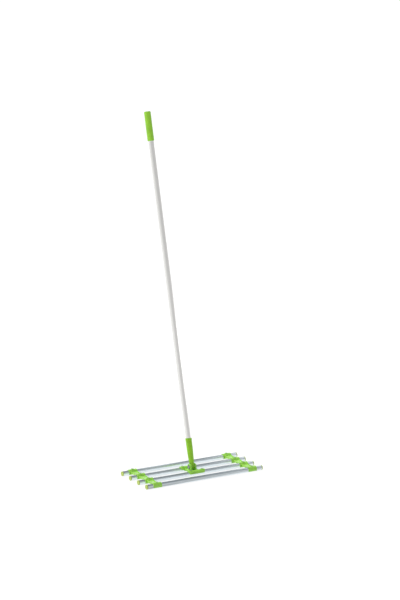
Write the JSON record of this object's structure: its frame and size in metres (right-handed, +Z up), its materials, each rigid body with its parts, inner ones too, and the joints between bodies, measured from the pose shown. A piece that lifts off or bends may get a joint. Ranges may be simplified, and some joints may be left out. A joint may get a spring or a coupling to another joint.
{
  "type": "lawn leveling rake",
  "caption": "Lawn leveling rake: a flat head of parallel aluminium tube bars in green plastic bridges, with a long grip-ended handle that tilts on a friction hinge.",
  "frame": {"origin": "on the ground in the middle of the head, midway between the two inner bars and straight under the hinge", "axes": "+X along the bars to the right, +Y from the front bar to the rear bar, the way the handle leans, +Z up"},
  "size_m": [0.6, 0.5503, 1.6017],
  "materials": {
    "bar_aluminium": "drawn and polished",
    "tube_aluminium": "satin anodised",
    "green_plastic": "moulded, half gloss",
    "lime_plastic": "moulded, soft gloss",
    "grip_vinyl": "soft vinyl, fine grain",
    "zinc_steel": "zinc plated",
    "nylon": "natural nylon"
  },
  "bodies": {
    "head": {"bar_rear": "bar_aluminium", "bar_mid_rear": "bar_aluminium", "bar_mid_front": "bar_aluminium", "bar_front": "bar_aluminium", "plug_rear_left": "lime_plastic", "plug_rear_right": "lime_plastic", "plug_mid_rear_left": "lime_plastic", "plug_mid_rear_right": "lime_plastic", "plug_mid_front_left": "lime_plastic", "plug_mid_front_right": "lime_plastic", "plug_front_left": "lime_plastic", "plug_front_right": "lime_plastic", "end_bridge_left": "green_plastic", "end_bridge_right": "green_plastic", "bridge_screws_left": "zinc_steel", "bridge_screws_right": "zinc_steel", "centre_bracket": "green_plastic", "bracket_screws": "zinc_steel", "hinge_bolt": "zinc_steel", "hinge_nut": "zinc_steel", "flat_washer": "zinc_steel", "friction_washers": "nylon"},
    "handle": {"handle_socket": "green_plastic", "socket_screw": "zinc_steel", "handle_tube": "tube_aluminium", "hand_grip": "grip_vinyl"}
  },
  "joints": [
    {"name": "handle_tilt", "type": "hinge", "parent": "head", "child": "handle", "pos_m": [0, 0, 0.031], "axis": [-1, 0, 0], "range_deg": [-89.6, 60.4]}
  ]
}
